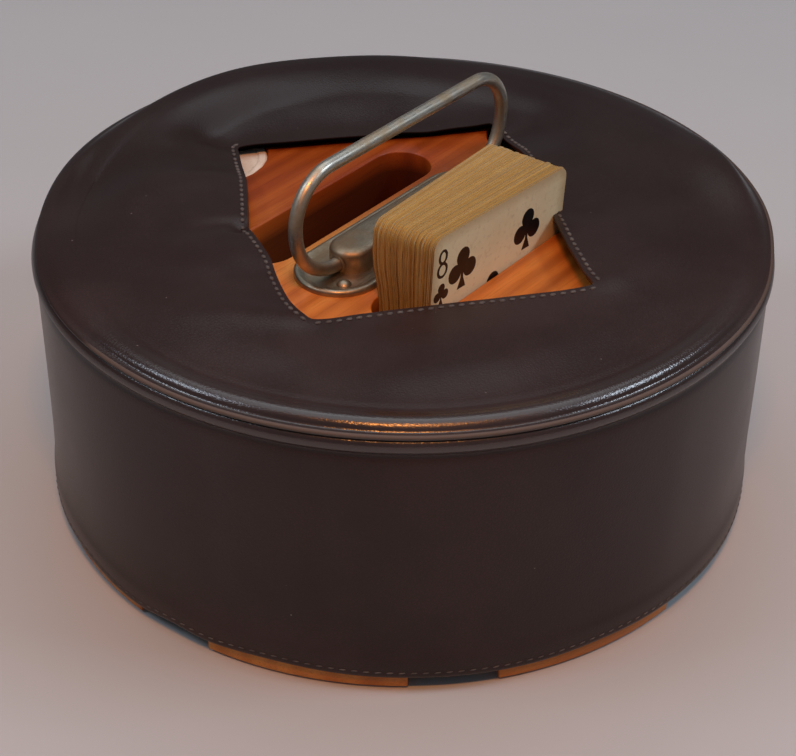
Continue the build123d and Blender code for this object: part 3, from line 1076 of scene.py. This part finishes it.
# the face card's print: pips in two columns and a middle one, and an index in two corners
prints = {"size": 13.2, "columns": (-17.8, 13.4), "rows": (14.5, 44.45, 74.4), "top": 89.4,
          "middle": -2.2, "middleRow": 28.5, "numberX": 27.4, "numberRow": 8.9, "numberSize": 9.2,
          "cornerX": 27.2, "cornerRow": 18.8, "cornerSize": 6.9, "lift": 0.012, "layer": 0.0004}


def clubPip(bm, centre, size, flip=False):
    # three lobes and a flared stem, flat on the card's face
    made = []
    for x, z, radius in ((0, 0.27, 0.225), (-0.26, -0.07, 0.225), (0.26, -0.07, 0.225),
                         (0, 0.0, 0.15)):
        disc = bmesh.ops.create_circle(bm, cap_ends=True, segments=24, radius=radius)["verts"]
        bmesh.ops.translate(bm, verts=disc, vec=(x, z, 0))
        made += disc
    stem = [(-0.035, 0.0), (-0.05, -0.25), (-0.15, -0.5), (0.15, -0.5), (0.05, -0.25), (0.035, 0.0)]
    corners = [bm.verts.new((x, z, 0)) for x, z in stem]
    bm.faces.new(corners)
    made += corners
    turn = -1 if flip else 1
    for number, vert in enumerate(made):
        layer = prints["layer"] * (number // 24)
        vert.co = (centre[0] * mm + vert.co.x * size * turn * mm, -layer * mm,
                   centre[1] * mm + vert.co.y * size * turn * mm)
    return made


def eight(bm, centre, height, flip=False):
    # two rounded rings, the lower one larger
    turn = -1 if flip else 1
    for layer, (middle, wide, tall) in enumerate(((0.235, 0.225, 0.262), (-0.225, 0.265, 0.275))):
        loops = []
        for inset in (0.0, 0.095):
            ring = bmesh.ops.create_circle(bm, segments=32, radius=1)["verts"]
            for vert in ring:
                x = vert.co.x * (wide - inset * 1.15)
                z = middle + vert.co.y * (tall - inset)
                vert.co = ((centre[0] + x * turn * height) * mm, -layer * prints["layer"] * mm,
                           (centre[1] + z * turn * height) * mm)
            loops += edgesAround(ring)
        bmesh.ops.bridge_loops(bm, edges=loops)


def buildCards():
    template = cardTemplate()
    tone = template.verts.layers.float["cardTone"]
    faceMatrix = None
    for name, first, last, node in (("faceCard", 0, 1, "face_card"),
                                    ("cardPack", 1, cards["count"], "card_pack")):
        bm = bmesh.new()
        for index in range(first, last):
            shade = random.random()
            for vert in template.verts:
                vert[tone] = shade
            matrix = cardMatrix(index)
            if index == 0:
                faceMatrix = matrix
            bent = bentCard(template, index)
            copyInto(bm, bent, matrix, None)
            bent.free()
        makePiece(name, bm, [cardEdge, cardFace, cardBack], "cards", node, slot="card", sharp=50)
    template.free()
    printFace(faceMatrix)


def printFace(faceMatrix):
    # eight of clubs: three pips up each side, two in the middle, an index in two corners
    bm = bmesh.new()
    half = cards["height"] / 2
    for x in prints["columns"]:
        for fromTop in prints["rows"]:
            clubPip(bm, (x, prints["top"] - fromTop), prints["size"], fromTop > half + 5)
    clubPip(bm, (prints["middle"], cards["height"] - prints["middleRow"]), prints["size"])
    clubPip(bm, (prints["middle"], prints["middleRow"]), prints["size"], True)
    for flip in (False, True):
        turn = -1 if flip else 1
        height = half + turn * (half - prints["numberRow"])
        eight(bm, (turn * -prints["numberX"], height), prints["numberSize"], flip)
        height = half + turn * (half - prints["cornerRow"])
        clubPip(bm, (turn * -prints["cornerX"], height), prints["cornerSize"], flip)
    lift = Matrix.Translation((0, -(cards["thickness"] / 2 + prints["lift"]) * mm, 0))
    bmesh.ops.transform(bm, matrix=faceMatrix @ lift, verts=bm.verts)
    front = faceMatrix.to_3x3() @ Vector((0, -1, 0))
    for face in bm.faces:
        if face.normal.dot(front) < 0:
            face.normal_flip()
    makePiece("cardPips", bm, [ink], "cards", sharp=60)


buildCards()
print("cards ready")


def chipTemplate(steps, section):
    bm = bmesh.new()
    spinProfile(bm, section, steps)
    bmesh.ops.holes_fill(bm, edges=[e for e in bm.edges if e.is_boundary], sides=steps + 2)
    bmesh.ops.recalc_face_normals(bm, faces=bm.faces)
    return bm


def buildChips():
    radius, thick = chips["radius"], chips["thickness"]
    plain = chipTemplate(24, [(radius - 0.45, 0.05), (radius, 0.45), (radius, thick - 0.45),
                              (radius - 0.45, thick - 0.05)])
    pressed = [(radius - 0.5, 0.05), (radius - 0.1, 0.3), (radius, 0.6), (radius, thick - 0.6),
               (radius - 0.15, thick - 0.22), (radius - 0.6, thick - 0.03),
               (radius - 2.4, thick), (radius - 2.75, thick - 0.1), (radius - 2.95, thick - 0.32),
               (radius - 3.3, thick - 0.42), (5.0, thick - 0.42)]
    topChip = chipTemplate(64, pressed)
    for number, node in enumerate(chips["nodes"]):
        count = chips["counts"][number]
        angle = math.radians(chips["turn"] + 45 * number)
        bm = bmesh.new()
        for level in range(count):
            last = level == count - 1
            drift = Vector((random.uniform(-0.3, 0.3), random.uniform(-0.3, 0.3), 0))
            place = polar(chips["circle"], angle, chips["floor"] + level * thick)
            if last and number == chips["slid"][0]:
                drift = Vector((0.0, chips["slid"][1], 0))
            matrix = Matrix.Translation((place + drift) * mm)
            matrix = matrix @ Matrix.Rotation(random.uniform(0, 6), 4, "Z")
            copyInto(bm, topChip if last else plain, matrix)
        name = node.split("_")[0] + "Chips" + node[-1]
        makePiece(name, bm, [chipMaterials[chips["colors"][number]]], "rack", node,
                  slot=chips["colors"][number] + "_chip", sharp=40)
    plain.free()
    topChip.free()


buildChips()
print("chips ready")


# Floor, light and camera. Places and sizes here are in metres, except the camera's.
studio = {"floor": ((0.50, 0.53, 0.545, 1), (0.52, 0.55, 0.565, 1)), "floorHalf": 6,
          "skyColor": (0.85, 0.90, 1.0, 1), "skyStrength": 0.17,
          "shownColor": (0.50, 0.51, 0.54, 1), "shownStrength": 0.25}

# place, target, size, watts and colour
lamps = {"overhead": ((0.16, 0.13, 1.42), (0, 0, 0.06), (1.5, 1.3), 5.6, (0.88, 0.95, 1.0)),
         "fromBack": ((0.50, 0.40, 1.15), (0, 0, 0.06), (0.7, 0.5), 0.7, (0.90, 0.95, 1.0)),
         "leftSide": ((-0.67, 0.56, 0.97), (0, 0, 0.06), (0.4, 0.18), 2.3, (0.76, 0.87, 1.0)),
         "rightSide": ((0.46, -0.80, 0.92), (0, 0, 0.06), (0.44, 0.2), 3.8, (0.76, 0.87, 1.0)),
         "warmFront": ((-0.45, -0.36, 1.06), (-0.07, -0.06, 0.08), (0.24, 0.07), 5.4,
                       (1.0, 0.35, 0.085))}

# where the photograph was taken from: millimetres, degrees, and the lens in picture dots
photoView = {"place": (-387.71, -301.84, 373.75), "turn": 52, "pitch": 34.993, "roll": 0.854,
             "focal": 1900, "pictureWidth": 796, "sensor": 36.0}


def buildFloor():
    material, tree, shader, place = newMaterial("paleFloor")
    color = mixColor(tree, softPatches(tree, place, 3.0, 0.3, 0.7), *studio["floor"])
    setShader(tree, shader, Base_Color=color, Roughness=0.7)
    bm = bmesh.new()
    bmesh.ops.create_grid(bm, x_segments=1, y_segments=1, size=studio["floorHalf"])
    mesh = bpy.data.meshes.new("floor")
    bm.to_mesh(mesh)
    bm.free()
    mesh.materials.append(material)
    floor = bpy.data.objects.new("floor", mesh)
    bpy.context.scene.collection.objects.link(floor)


def addLamp(name, place, target, size, power, color):
    data = bpy.data.lights.new(name, "AREA")
    data.shape = "RECTANGLE"
    data.size, data.size_y = size
    data.energy = power
    data.color = color
    lamp = bpy.data.objects.new(name, data)
    lamp.location = place
    aim = Vector(target) - Vector(place)
    lamp.rotation_euler = aim.to_track_quat("-Z", "Y").to_euler()
    bpy.context.scene.collection.objects.link(lamp)


def buildWorld():
    world = bpy.data.worlds.new("studio")
    world.use_nodes = True
    tree = world.node_tree
    tree.nodes.clear()
    path = addNode(tree, "LightPath").outputs
    seen = calculate(tree, "MAXIMUM", path["Is Camera Ray"], path["Is Glossy Ray"])
    seen = calculate(tree, "MAXIMUM", seen, path["Is Transmission Ray"])
    light = addNode(tree, "Background", {"Color": studio["skyColor"],
                                         "Strength": studio["skyStrength"]})
    shown = addNode(tree, "Background", {"Color": studio["shownColor"],
                                         "Strength": studio["shownStrength"]})
    mixed = addNode(tree, "MixShader", {0: seen, 1: light.outputs[0], 2: shown.outputs[0]})
    addNode(tree, "OutputWorld", {"Surface": mixed.outputs[0]})
    bpy.context.scene.world = world


def buildCamera():
    data = bpy.data.cameras.new("photoView")
    data.sensor_fit = "HORIZONTAL"
    data.sensor_width = photoView["sensor"]
    data.lens = photoView["sensor"] * photoView["focal"] / photoView["pictureWidth"]
    data.clip_start = 0.01
    data.clip_end = 20
    camera = bpy.data.objects.new("photoView", data)
    bpy.context.scene.collection.objects.link(camera)
    turn, pitch, roll = (math.radians(photoView[key]) for key in ("turn", "pitch", "roll"))
    forward = Vector((math.sin(turn) * math.cos(pitch), math.cos(turn) * math.cos(pitch),
                      -math.sin(pitch)))
    right = Vector((math.cos(turn), -math.sin(turn), 0))
    up = right.cross(forward)
    right, up = (right * math.cos(roll) + up * math.sin(roll),
                 up * math.cos(roll) - right * math.sin(roll))
    matrix = Matrix((right, up, -forward)).transposed().to_4x4()
    matrix.translation = Vector(photoView["place"]) * mm
    camera.matrix_world = matrix
    bpy.context.scene.camera = camera


buildFloor()
buildWorld()
buildCamera()
for name, values in lamps.items():
    addLamp(name, *values)
bpy.context.scene.view_settings.view_transform = "Standard"
print("scene ready")
